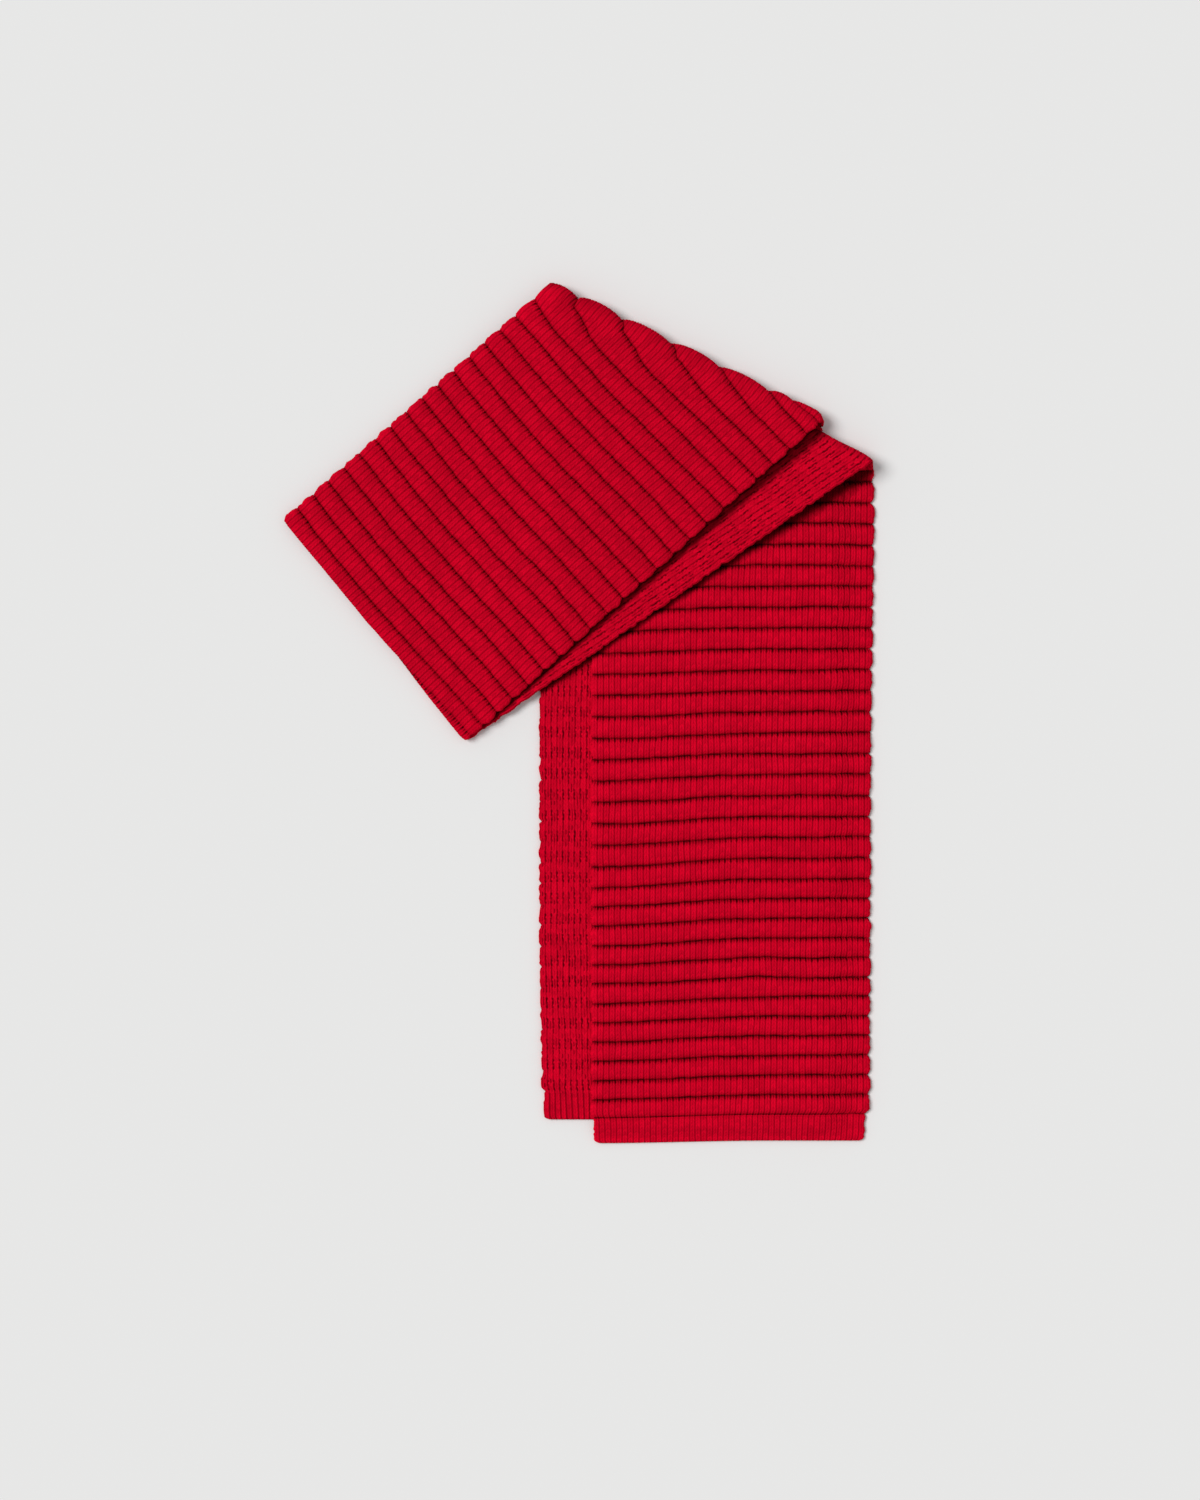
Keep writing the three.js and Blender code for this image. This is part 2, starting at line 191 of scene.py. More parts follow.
# Heights of the layers
ON_BACK = 5.3  # underside of a layer that lies on the back end
ON_FRONT = 11.2  # and on the front end, which lies on the back one
ON_LOWER = 5.3  # how far the upper layer's underside is above the lower layer's
CLIMB = 62  # a layer starts to climb this far before the edge of what it lies on
CLIMB_MARGIN = 14  # and is up this far before it
UPPER_LEAD = 14  # how much sooner the upper layer climbs than the lower one
DRAPE_MARGIN = 4  # past the back end's side and hem the front end comes down from here
DRAPE_SIDE = 30  # over this length at the side
DRAPE_HEM = 12  # and this one at the hem
DROOP_MARGIN = 23  # past the lower layer's upper edge the upper one comes down from here
DROOP = 24  # over this length
PUFF = 10  # how far the fold's right corner stands up off the front end
PUFF_CENTRE = np.array([250, 215])
PUFF_WAY = np.array([0.835, 0.55])
PUFF_LENGTH = 100
PUFF_WIDTH = 50

rng = np.random.default_rng(41)
LATTICE = rng.random((256, 256))


def lerp(a, b, t):
    return a + (b - a) * t


def smooth(t):
    c = np.clip(t, 0, 1)
    return c * c * (3 - 2 * c)


def unit(v):
    return v / np.linalg.norm(v, axis=-1, keepdims=True)


def noise(x, y, layer):
    """Smooth noise from -1 to 1, one lump for each whole step of x and y. Each layer has its own lumps.

    Most uses scale x to lumps across the width and y to lumps in a rib.
    """
    x, y = np.broadcast_arrays(x + 17.3 * layer, y + 41.7 * layer)
    cell_x, cell_y = np.floor(x).astype(int), np.floor(y).astype(int)
    u, v = smooth(x - cell_x), smooth(y - cell_y)

    def at(dx, dy):
        return LATTICE[(cell_x + dx) % 256, (cell_y + dy) % 256]

    return 2 * lerp(lerp(at(0, 0), at(1, 0), u), lerp(at(0, 1), at(1, 1), u), v) - 1


# Undersides of the layers
def climb(x, edge):
    return smooth((x - edge + CLIMB) / (CLIMB - CLIMB_MARGIN))


def puff(x, y):
    dx, dy = x - PUFF_CENTRE[0], y - PUFF_CENTRE[1]
    along = (dx * PUFF_WAY[0] + dy * PUFF_WAY[1]) / PUFF_LENGTH
    beside = (dy * PUFF_WAY[0] - dx * PUFF_WAY[1]) / PUFF_WIDTH
    return PUFF * np.exp(-(along**2) - beside**2)


def back_under(x, y):
    return 0 * x


def front_under(x, y):
    right = np.interp(y, BACK_EDGES[:, 0], BACK_EDGES[:, 2])
    side = smooth((x - right - DRAPE_MARGIN) / DRAPE_SIDE)
    hem = smooth((BACK_HEM_Y - DRAPE_MARGIN - y) / DRAPE_HEM)
    return ON_BACK * (1 - side) * (1 - hem)


def lower_under(x, y):
    back, front = BACK_EDGES[3, 1], FRONT_EDGES[2, 1]
    return ON_BACK * climb(x, back) + (ON_FRONT - ON_BACK) * climb(x, front) + puff(x, y)


def upper_under(x, y):
    a, b = END_UPPER, FRONT_HIGH[0]
    outside = ((b[0] - a[0]) * (y - a[1]) - (b[1] - a[1]) * (x - a[0])) / np.hypot(*(b - a))
    held = 1 - smooth((outside - DROOP_MARGIN) / DROOP)
    ground = ON_BACK * climb(x, BACK_EDGES[3, 1])
    return ground + held * (lower_under(x + UPPER_LEAD, y) + ON_LOWER - ground)


# Where the ribs lie
def front_height(from_hem):
    first = np.minimum(from_hem, FALL_FIRST_RIBS)
    return FRONT_BAND_Y + FALL_FIRST_PITCH * first + FALL_PITCH * (from_hem - first)


def back_height(from_hem):
    return BACK_BAND_Y + PITCH * from_hem


def front_sag(across, y):
    return np.interp(y, SAG_EDGES[:, 0], SAG_EDGES[:, 1]) * (1 - smooth(across / SAG_REACH))


def no_sag(across, y):
    return 0


def growth(terms, across):
    return terms[0] + terms[1] * across + terms[2] * across**2


def bow(across, ribs):
    """How far a rib lies from a straight line across the slanting layer, in ribs."""
    bowed = -BOW * np.sin(2 * np.pi * BOW_WAVES * across) * smooth((ribs - END_START) / BOW_START)
    to_fold = (ribs - growth(FOLD_RIBS, across) + BEND_RIBS) / BEND_RIBS
    return lerp(bowed, growth(FOLD_SHIFT, across), smooth(to_fold) ** BEND_POWER)


def lobe_shape(ribs):
    """Outline of the ribs where they pass over a fold: 0 in the notch between two and 1 on top of one."""
    phase = ribs - np.floor(ribs)
    rising = 1 - (1 - phase / LOBE_PEAK) ** 2
    falling = 1 - ((phase - LOBE_PEAK) / (1 - LOBE_PEAK)) ** 2
    return np.where(phase < LOBE_PEAK, rising, falling)


def recess_shade(x, y, edge, width):
    """How much painted shade darkens the cloth beside and under the lower edge of the layer that lies on it.
    """
    start, end = edge
    way = unit(end - start)
    outside = (x - start[0]) * way[1] - (y - start[1]) * way[0]
    ragged = 1 + RECESS_RAGGED * noise(x / RECESS_RAGGED_SIZE, y / RECESS_RAGGED_SIZE, 9)
    beyond = smooth(1 - outside / (width * ragged))
    under = lerp(RECESS_UNDER, 1, smooth((outside + RECESS_DEPTH) / RECESS_DEPTH))
    along = (x - start[0]) * way[0] + (y - start[1]) * way[1]
    return RECESS * beyond * under * smooth(along / RECESS_START)


class Strip:
    """Half of the scarf: a slanting layer, the fold that turns it down, and a straight end with its band.

    Its facts are the fold's ends (high, low), its ribs in all and those that show, functions and tables for
    its places and heights, the ribs that its fold takes up (around), how far that reaches out (reach, lobe),
    how deep its ribs are (depth), and which way its ribbed side faces. The back strip also passes round the
    scarf's middle.
    """

    def __init__(self, **facts):
        self.__dict__.update(facts)
        way = self.high[1] - self.high[0]
        self.out = np.array([-way[1], way[0]]) / np.hypot(*way)
        self.upper_way = unit(self.high[0] - END_UPPER)
        self.lower_way = unit(self.high[1] - END_LOWER)

    def slant(self, across, ribs):
        """Where the slanting layer lies, seen from above."""
        if self.bowed:
            ribs = ribs + bow(across, ribs)
        past = np.maximum(ribs - self.even_ribs, 0)
        lower_run = (ribs - past) * self.lower_pitch + past * self.wide_pitch
        upper = END_UPPER + (ribs * self.upper_pitch)[..., None] * self.upper_way
        lower = END_LOWER + lower_run[..., None] * self.lower_way
        return lerp(upper, lower, across[..., None])

    def at_fold(self, across):
        """Ribs between the scarf's middle and the start of the slanting fold, found by halving."""
        near, far = np.zeros_like(across), np.full_like(across, 40.0)
        for _ in range(30):
            middle = (near + far) / 2
            past = (self.slant(across, middle) - self.high[0]) @ self.out > 0
            near, far = np.where(past, near, middle), np.where(past, middle, far)
        return near

    def turn_ribs(self, across):
        """Ribs that the slanting fold takes up."""
        late = smooth((across - LATE_TURN) / LATE_TURN_WIDTH)
        return self.around + self.around_more * across + self.around_end * late

    def fold_reach(self, across, rib_out):
        """How far the slanting fold reaches out, where rib_out is the rib furthest out."""
        lobes = lobe_shape(np.minimum(rib_out, self.last_lobe))
        past_corner = np.clip((across - 1 + self.corner) / self.corner, 0, 1)
        reach = self.reach + self.lobe * lobes * smooth(across / LOBE_START)
        return reach * lerp(CORNER_REACH, 1, np.sqrt(1 - past_corner**2))

    def straight(self, across, ribs, fold_end):
        """Where the straight end lies. Its first, hidden ribs fan out from the fold."""
        shown = self.total - self.shown
        y_low = lerp(self.low[0, 1], self.low[1, 1], across)
        share = (ribs - fold_end) / (shown - fold_end)
        hidden = lerp(y_low, self.height(self.shown), share)
        y = np.where(ribs > shown, self.height(self.total - ribs), hidden)
        left = np.interp(y, self.edges[:, 0], self.edges[:, 1])
        right = np.interp(y, self.edges[:, 0], self.edges[:, 2])
        return np.stack([lerp(left, right, across), y - self.sag(across, y)], -1)

    def middle(self, across, ribs):
        """The middle of the cloth's wall."""
        across, ribs = np.broadcast_arrays(across, ribs)
        fold = self.at_fold(across[0])[None]
        around = self.turn_ribs(across[:1])
        fold_end = fold + around
        q = np.clip((ribs - fold) / around, 0, 1)
        a = self.slant(across, np.minimum(ribs, fold))
        b = self.straight(across, np.maximum(ribs, fold_end), fold_end)
        reach = self.fold_reach(across, fold + around / 2)
        plan = lerp(a, b, q[..., None]) + self.out * (reach * np.sin(np.pi * q))[..., None]
        top = self.slant_under(a[..., 0], a[..., 1]) + MID
        in_band = smooth((ribs - self.total) * 6)
        bottom = self.straight_under(b[..., 0], b[..., 1]) + lerp(MID, HEM_HALF + HEM_LIFT, in_band)
        height = lerp(bottom, top, 0.5 + 0.5 * np.cos(np.pi * q)) + FLOOR_GAP
        if self.end_around:
            e = np.clip((END_START - ribs) / self.end_around, 0, 1)
            inside = self.slant(across, np.maximum(ribs, END_START))
            out = unit(np.array([END_LOWER[1] - END_UPPER[1], END_UPPER[0] - END_LOWER[0]]))
            turned = inside + out * (self.end_reach * np.sin(np.pi * e))[..., None]
            plan = np.where((e > 0)[..., None], turned, plan)
            under = lower_under(inside[..., 0], inside[..., 1]) + MID
            height = np.where(e > 0, lerp(under, top, 0.5 + 0.5 * np.cos(np.pi * e)) + FLOOR_GAP, height)
        return np.concatenate([plan, height[..., None]], -1)

    def frames(self, across, ribs):
        """The wall's middle, and the ways across it and out of its ribbed side."""
        step_across, step_ribs = 0.01, 0.04
        here = self.middle(across, ribs)
        side = self.middle(across + step_across, ribs) - self.middle(across - step_across, ribs)
        way = self.middle(across, ribs + step_ribs) - self.middle(across, ribs - step_ribs)
        out = unit(np.cross(side, way)) * self.facing
        return here, unit(side), out

    def pressed(self, across, ribs):
        """0 where the ribs show and 1 where they lie underneath."""
        q = (ribs - self.at_fold(across[0])[None]) / self.turn_ribs(across[:1])
        if self.facing > 0:
            e = (END_START - ribs) / self.end_around
            return smooth(2 * np.maximum(q, e) - 1)
        return 1 - smooth(q)


FRONT_TOTAL = 56.18
front_fold = FRONT_TOTAL - FRONT_SHOWN - (FRONT_LOW[:, 1] - FRONT_TOP_Y) / FALL_PITCH - FRONT_AROUND
front_strip = Strip(
    high=FRONT_HIGH,
    low=FRONT_LOW,
    total=FRONT_TOTAL,
    shown=FRONT_SHOWN,
    height=front_height,
    edges=FRONT_EDGES,
    sag=front_sag,
    straight_under=front_under,
    slant_under=lower_under,
    upper_pitch=np.hypot(*(FRONT_HIGH[0] - END_UPPER)) / front_fold[0],
    lower_pitch=np.hypot(*(FRONT_HIGH[1] - END_LOWER)) / front_fold[1],
    even_ribs=FRONT_TOTAL,
    wide_pitch=PITCH,
    around=FRONT_AROUND,
    around_more=0,
    around_end=0,
    corner=0.03,
    lobe=0,
    last_lobe=0,
    reach=4.6,
    depth=1,
    facing=-1,
    end_around=0,
    bowed=False,
)
BACK_TOTAL = 57.0
back_strip = Strip(
    high=BACK_HIGH,
    low=BACK_LOW,
    total=BACK_TOTAL,
    shown=BACK_SHOWN,
    height=back_height,
    edges=BACK_EDGES,
    sag=no_sag,
    straight_under=back_under,
    slant_under=upper_under,
    upper_pitch=PITCH,
    lower_pitch=PITCH,
    even_ribs=8,
    wide_pitch=WIDE_PITCH,
    around=0.2,
    around_more=1.0,
    around_end=1.8,
    corner=0.035,
    lobe=0.9,
    last_lobe=21 + LOBE_PEAK,
    reach=9.9,
    depth=0.72,
    facing=1,
    end_around=0.49,
    end_reach=2.9,
    bowed=True,
)


# Rows and columns of a piece
ROWS_PER_RIB = 2 * FACE_COURSES
COLUMNS_PER_WALE = 4
COARSE_COLUMNS = 14
LEFT_FINE = 0.24  # where a left side that shows ends, and its coarse columns start
LEFT_COARSE = 0.26
EDGE_STEPS = np.array([0.2, 0.5, 0.8])  # columns round a selvedge
LEAN = 0.95  # below 1 the ribs are fuller and their creases narrower
TURNS = np.linspace(0, 1, 201)
TURN_PHASES = 0.5 - 0.5 * np.sign(np.cos(np.pi * TURNS)) * np.abs(np.cos(np.pi * TURNS)) ** LEAN


def phase_of(turn):
    return np.interp(turn, TURNS, TURN_PHASES)


def turn_of(phase):
    return np.interp(phase, TURN_PHASES, TURNS)


def rows_between(first, last, dense=(0, 0)):
    """Rib numbers of the rows from first to last, with a crease at each whole number."""
    rows = []
    for rib in range(math.floor(first), math.ceil(last)):
        count = ROWS_PER_RIB * (2 if dense[0] <= rib < dense[1] else 1)
        rows += [rib + float(phase_of(step / count)) for step in range(count)]
    rows = [row for row in rows if first + 1e-4 < row < last - 1e-4]
    return np.array([first, *rows, last])


def band_rows():
    """Rows of a plain band, in ribs past the last crease. They crowd together round the hem's edge."""
    step = COURSE / 2 / PITCH
    end = BAND / PITCH
    even = [step * (i + 1) for i in range(int(end / step) - 1)]
    rounding = [end - HEM_ROUND / PITCH * (1 - math.sin(t)) for t in np.linspace(0, math.pi / 2, 5)]
    return np.array([row for row in even if row < rounding[0] - step / 2] + rounding)


def fine_columns(inset, last=1.0):
    """The columns of each stitch, and the selvedge's own."""
    count = WALES * COLUMNS_PER_WALE
    inner = np.arange(1, count) / count
    inner = inner[(inner > inset * 1.5) & (inner < 1 - inset * 1.5) & (inner < last)]
    return np.concatenate([[inset], inner, [1 - inset]])


def coarse_columns(inset):
    return np.linspace(inset, 1 - inset, COARSE_COLUMNS)


def half_fine_columns(inset):
    """Fine columns on the left, which shows, and coarse ones on the rest."""
    coarse = np.linspace(LEFT_COARSE, 1 - inset, COARSE_COLUMNS + 2)
    return np.concatenate([fine_columns(inset, LEFT_FINE)[:-1], coarse])


def off_centre(wale):
    """0 in the middle of a stitch and 1 between two."""
    return np.abs(wale - np.floor(wale) - 0.5) * 2


def column_height(wale):
    """Relief across a stitch, from 0 in the groove beside it to 1 on each of its two legs."""
    centre = off_centre(wale)
    return 1 - lerp(0.5, 1, smooth((centre - 0.3) / 0.4)) * (2 * centre - 1) ** 2


def stitch_height(wale, course):
    along = np.abs(np.sin(np.pi * (course + 0.8 * off_centre(wale)))) ** 0.7
    return column_height(wale) * (0.55 + 0.45 * along)


class Cloth:
    """The points of one piece, in rows that each go once round it.

    A row runs along the ribbed side, round the right selvedge, back along the smooth side and round the left
    one. The rows are numbered in ribs, from the scarf's middle or from the hem.
    """

    def __init__(self, strip, numbers, from_hem, ribbed_columns, smooth_columns):
        self.strip, self.from_hem = strip, from_hem
        self.fine_ribbed = ribbed_columns is fine_columns
        self.fine_smooth = smooth_columns is not coarse_columns
        self.lay_out_columns(ribbed_columns, smooth_columns)
        ribs = strip.total - numbers if from_hem else numbers
        ones = np.ones((len(numbers), len(self.columns)))
        self.across = self.columns * ones
        self.number = numbers[:, None] * ones
        self.ribs = ribs[:, None] * ones
        self.in_band = self.ribs > strip.total + 1e-6
        self.away = np.minimum(self.across, 1 - self.across) * WIDTH
        self.away[:, self.right] = 0
        self.away[:, self.left] = 0

        slid = self.number
        if strip.end_around:
            slid = slid - END_SHIFT * smooth((self.across - 0.5) / 0.5) * (1 - smooth(self.ribs - 0.3))
        self.rib = np.floor(slid)
        self.phase = slid - self.rib
        self.turn = turn_of(self.phase)
        self.rise = np.where(self.in_band, 1, np.sin(np.pi * self.turn) ** RIB_POWER)
        self.ribs = self.ribs + self.wobble()

        self.here, self.side, self.out = strip.frames(self.across, self.ribs)
        self.pressed = strip.pressed(self.across, self.ribs)
        self.past_crease = (self.ribs - strip.total) * PITCH
        self.to_end = (strip.total + BAND / PITCH - self.ribs) * PITCH
        shut = np.sqrt(np.clip(1 - (1 - self.to_end / HEM_ROUND) ** 2, 0, 1))
        self.shut = np.maximum(np.where(self.to_end < HEM_ROUND, shut, 1), HEM_THIN)

    def lay_out_columns(self, ribbed_columns, smooth_columns):
        inset = EDGE_INSET / WIDTH
        ribbed = ribbed_columns(inset)
        back = smooth_columns(inset)[::-1]
        right = [1 - inset] * len(EDGE_STEPS)
        left = [inset] * len(EDGE_STEPS)
        self.columns = np.concatenate([ribbed, right, back, left])
        ends = np.cumsum([0, len(ribbed), len(right), len(back), len(left)])
        self.ribbed, self.right, self.smooth, self.left = (slice(a, b) for a, b in zip(ends, ends[1:]))

    def in_bands(self, in_band, elsewhere):
        return np.where(self.in_band, in_band, elsewhere)

    def wobble(self):
        """How far each crease strays along the strip, in ribs. Its ends stay where they are."""
        across, number = self.across, self.number
        stray = WOBBLE * noise(across * 6, number * 0.9, 1)
        stray = stray + FINE_WOBBLE * noise(across * 19, number * 1.3, 2)
        stitches = noise(across * WALES, np.floor(number + 0.5) * 5.3, 7)
        stray = stray + STITCH_WOBBLE * stitches * (1 - self.rise)
        to_band = self.strip.total - self.ribs
        from_start = self.ribs - END_START + self.strip.end_around
        return self.in_bands(0, stray / PITCH) * (smooth(to_band * 2) * smooth(from_start * 3))

    def depths(self):
        """How far the ribbed side and the smooth side lie from the wall's middle."""
        depth = self.strip.depth
        end_share = 1 - np.clip(self.away / RIB_END, 0, 1)
        end_round = lerp(RIB_END_RISE, 1, np.sqrt(1 - end_share**2))
        fuller = 1 + RIB_VARIETY * noise(self.across * 5, np.floor(self.number) * 3.1, 3)
        crease = lerp(CREASE * depth, PRESSED_CREASE, self.pressed)
        crease = lerp(crease, EDGE_CREASE, 1 - smooth(self.away / EDGE_CREASE_WIDTH))
        crest = lerp(CREST * fuller * lerp(FLAT_CREST, 1, depth), PRESSED_CREST, self.pressed)
        ribbed = lerp(crease, crest, self.rise * end_round)
        dip = WAVE * (0.5 + 0.5 * np.cos(2 * np.pi * self.phase)) * lerp(OPEN_WAVE, 1, self.pressed)
        smooth_side = dip - SMOOTH

        band_share = self.in_bands(smooth(self.past_crease / BAND_START), 0)
        bead = 1 + BEAD * np.exp(-(((self.to_end - BEAD_PLACE) / BEAD_WIDTH) ** 2))
        thickness = self.in_bands(self.shut * bead, 1)
        ribbed = self.in_bands(lerp(crease, HEM_HALF, band_share), ribbed) * thickness
        smooth_side = self.in_bands(lerp(WAVE - SMOOTH, -HEM_HALF, band_share), smooth_side) * thickness
        return ribbed, smooth_side

    def courses(self):
        """Stitch rows along the strip, on the ribbed side and on the smooth side."""
        along_band = self.past_crease / COURSE
        sides = []
        for courses, ribs in ((FACE_COURSES, self.rib + self.turn), (BACK_COURSES, self.number)):
            band_course = -along_band if self.from_hem else courses * self.strip.total + along_band
            sides.append(self.in_bands(band_course, courses * ribs))
        return sides

    def lift(self, face_course):
        """How far each point lies from the wall's middle, with the relief of its stitches."""
        ribbed, smooth_side = self.depths()
        wale = self.across * WALES
        margin = smooth(self.away / RELIEF_MARGIN)
        ribbed_relief = smooth_relief = 0
        if self.fine_ribbed:
            calm = margin * self.in_bands(0.5 * self.shut, lerp(1, 0.5, self.rise))
            calm = calm * (1 + UNEVEN_RELIEF * noise(self.across * 2 * WALES, self.number * 9, 5))
            ribbed_relief = RELIEF * calm * (stitch_height(wale, face_course) - MEAN_HEIGHT)
        if self.fine_smooth:
            smooth_relief = BACK_RELIEF * margin * (column_height(wale) - MEAN_HEIGHT)
        lift = np.zeros_like(self.across)
        lift[:, self.ribbed] = (ribbed + ribbed_relief)[:, self.ribbed]
        lift[:, self.smooth] = (smooth_side - smooth_relief)[:, self.smooth]
        for part, steps in ((self.right, EDGE_STEPS), (self.left, EDGE_STEPS[::-1])):
            lift[:, part] = lerp(ribbed[:, part], smooth_side[:, part], steps)
        return lift

    def shift(self, scallop):
        """How far each point lies sideways of its column."""
        sign = np.where(self.across > 0.5, 1.0, -1.0)
        ends = scallop * (self.rise - 0.6) * (1 + 0.5 * noise(sign * 3, np.floor(self.number) * 2.7, 4))
        uneven = SERRATION * noise(sign * 9, self.number * FACE_COURSES, 6)
        shift = (self.in_bands(0, ends) + uneven) * np.exp(-self.away / EDGE_SHIFT_REACH)
        for part in (self.right, self.left):
            shift[:, part] += EDGE_BULGE * np.sin(np.pi * EDGE_STEPS) * self.in_bands(self.shut, 1)[:, part]
        to_corner = np.clip(HEM_CORNER**2 - (HEM_CORNER - self.to_end) ** 2, 0, None)
        in_corner = self.in_band & (self.to_end < HEM_CORNER)
        corner = np.where(in_corner, HEM_CORNER - np.sqrt(to_corner), 0)
        shift = shift - corner * np.exp(-self.away / HEM_CORNER_REACH)
        sway = SWAY * noise(self.across * 20, self.number * 0.9, 8) * smooth(self.away / SWAY_MARGIN)
        return sign * shift + sway

    def cover(self, points, edge_above, painted_layer_shade):
        """Painted shade on each point: an even darkening of the whole piece, and more beside and under the
        lower edge of the layer that lies on it.
        """
        cover = np.full_like(self.across, painted_layer_shade)
        if edge_above is not None:
            shown = self.ribbed if self.fine_ribbed else self.smooth
            x, y = points[:, shown, 0], points[:, shown, 1]
            width = EDGE_GAP + PUFF_GAP * puff(x, y) * (self.strip is front_strip)
            cover[:, shown] += (1 - painted_layer_shade) * recess_shade(x, y, edge_above, width)
        return cover

    def faces(self):
        """Four-sided faces between the rows, whether each is on the smooth side, and both ends' faces."""
        rows, columns = self.across.shape
        index = np.arange(rows * columns).reshape(rows, columns)
        beside = np.roll(index, -1, axis=1)
        quads = np.stack([index[:-1], index[1:], beside[1:], beside[:-1]], -1).reshape(-1, 4)
        smooth_face = np.zeros((rows - 1, columns), bool)
        smooth_face[:, self.smooth.start - 1 : self.smooth.stop] = True
        caps = []
        for row, flip in ((index[0], False), (index[-1], True)):
            right, left = row[self.right], row[self.left]
            top = [*left[1:], *row[self.ribbed], *right[:2]]
            bottom = [left[1], left[0], *row[self.smooth][::-1], right[2], right[1]]
            caps += [face[::-1] if flip else face for face in zip_lines(top, bottom)]
        return quads, smooth_face.ravel(), caps


def zip_lines(a, b):
    """Triangles between two lines of points that share their ends."""
    faces, i, j = [], 0, 0
    while i + 1 < len(a) or j + 1 < len(b):
        ahead_a = (i + 1) / max(len(a) - 1, 1) if i + 1 < len(a) else 2
        ahead_b = (j + 1) / max(len(b) - 1, 1) if j + 1 < len(b) else 2
        if ahead_a <= ahead_b:
            faces.append((a[i], a[i + 1], b[j]))
            i += 1
        else:
            faces.append((a[i], b[j + 1], b[j]))
            j += 1
    return [tuple(map(int, face)) for face in faces if len(set(face)) == 3]


def strip_piece(name, cloth, scallop, edge_above, painted_layer_shade):
    """A closed mesh of the cloth."""
    face_course, back_course = cloth.courses()
    moved = cloth.side * cloth.shift(scallop)[..., None] + cloth.out * cloth.lift(face_course)[..., None]
    points = cloth.here + moved
    # Painted shade for each point, kept on the mesh for the material
    cover = cloth.cover(points, edge_above, painted_layer_shade)
    points[..., :2] -= CENTRE
    course = face_course.copy()
    course[:, cloth.smooth] = back_course[:, cloth.smooth]
    uv = np.stack([cloth.across * WALES, course], -1).reshape(-1, 2)
    rise = cloth.in_bands(2, lerp(1, cloth.rise, cloth.strip.depth))
    tones = {"rise": rise.ravel(), "cover": cover.ravel()}
    return make_mesh(name, points.reshape(-1, 3) * MM, *cloth.faces(), uv, tones)


def make_mesh(name, points, quads, smooth_side, caps, uv, tones):
    a, b, c, d = (points[quads[:, i]] for i in range(4))
    volume = (a * np.cross(b, c)).sum() + (a * np.cross(c, d)).sum()
    if volume < 0:
        quads = quads[:, ::-1]
        caps = [face[::-1] for face in caps]
    mesh = bpy.data.meshes.new(name)
    mesh.from_pydata(points.tolist(), [], [*quads.tolist(), *caps])
    mesh.validate()
    layer = mesh.uv_layers.new(name="cloth")
    corners = np.empty(len(mesh.loops), np.int32)
    mesh.loops.foreach_get("vertex_index", corners)
    layer.data.foreach_set("uv", uv[corners].astype(np.float32).ravel())
    for tone, values in tones.items():
        attribute = mesh.attributes.new(tone, "FLOAT", "POINT")
        attribute.data.foreach_set("value", values.astype(np.float32))
    rounded = np.ones(len(mesh.polygons), bool)
    rounded[len(quads) :] = False
    mesh.polygons.foreach_set("use_smooth", rounded)
    slots = np.zeros(len(mesh.polygons), np.int32)
    slots[: len(quads)] = smooth_side
    mesh.polygons.foreach_set("material_index", slots)
    for material in MATERIALS:
        mesh.materials.append(material)
    mesh.update()
    piece = bpy.data.objects.new(name, mesh)
    bpy.context.scene.collection.objects.link(piece)
    return piece


# Materials
class Nodes:
    """Short ways to add shader nodes to one material."""

    def __init__(self, name):
        self.material = bpy.data.materials.new(name)
        self.material.use_nodes = True
        self.tree = self.material.node_tree
        self.tree.nodes.clear()

    def add(self, kind, **settings):
        node = self.tree.nodes.new(kind)
        for key, value in settings.items():
            setattr(node, key, value)
        return node

    def link(self, source, target):
        self.tree.links.new(source, target)

    def math(self, operation, *values):
        node = self.add("ShaderNodeMath", operation=operation)
        for socket, value in zip(node.inputs, values):
            if isinstance(value, (int, float)):
                socket.default_value = value
            else:
                self.link(value, socket)
        return node.outputs[0]

    def product(self, first, *others):
        for other in others:
            first = self.math("MULTIPLY", first, other)
        return first

    def less(self, value):
        return self.math("SUBTRACT", 1.0, value)

    def ramp(self, value, low, high, to_low, to_high):
        """An eased change from to_low to to_high while the value goes from low to high."""
        node = self.add("ShaderNodeMapRange", interpolation_type="SMOOTHSTEP")
        self.link(value, node.inputs["Value"])
        for name, number in (("From Min", low), ("From Max", high), ("To Min", to_low), ("To Max", to_high)):
            node.inputs[name].default_value = number
        return node.outputs["Result"]

    def speckle(self, column, row):
        """A random value for each whole number of column and row."""
        cell = self.add("ShaderNodeCombineXYZ")
        self.link(column, cell.inputs[0])
        self.link(row, cell.inputs[1])
        node = self.add("ShaderNodeTexWhiteNoise", noise_dimensions="2D")
        self.link(cell.outputs[0], node.inputs["Vector"])
        return node.outputs["Value"]

    def grain(self, scale, detail):
        """Noise through the object's own space."""
        place = self.add("ShaderNodeTexCoord")
        node = self.add("ShaderNodeTexNoise")
        node.inputs["Scale"].default_value = scale
        node.inputs["Detail"].default_value = detail
        self.link(place.outputs["Object"], node.inputs["Vector"])
        return node.outputs["Fac"]

    def attribute(self, name):
        return self.add("ShaderNodeAttribute", attribute_name=name).outputs["Fac"]

    def finish(self, shader):
        self.link(shader.outputs[0], self.add("ShaderNodeOutputMaterial").inputs["Surface"])
        return self.material


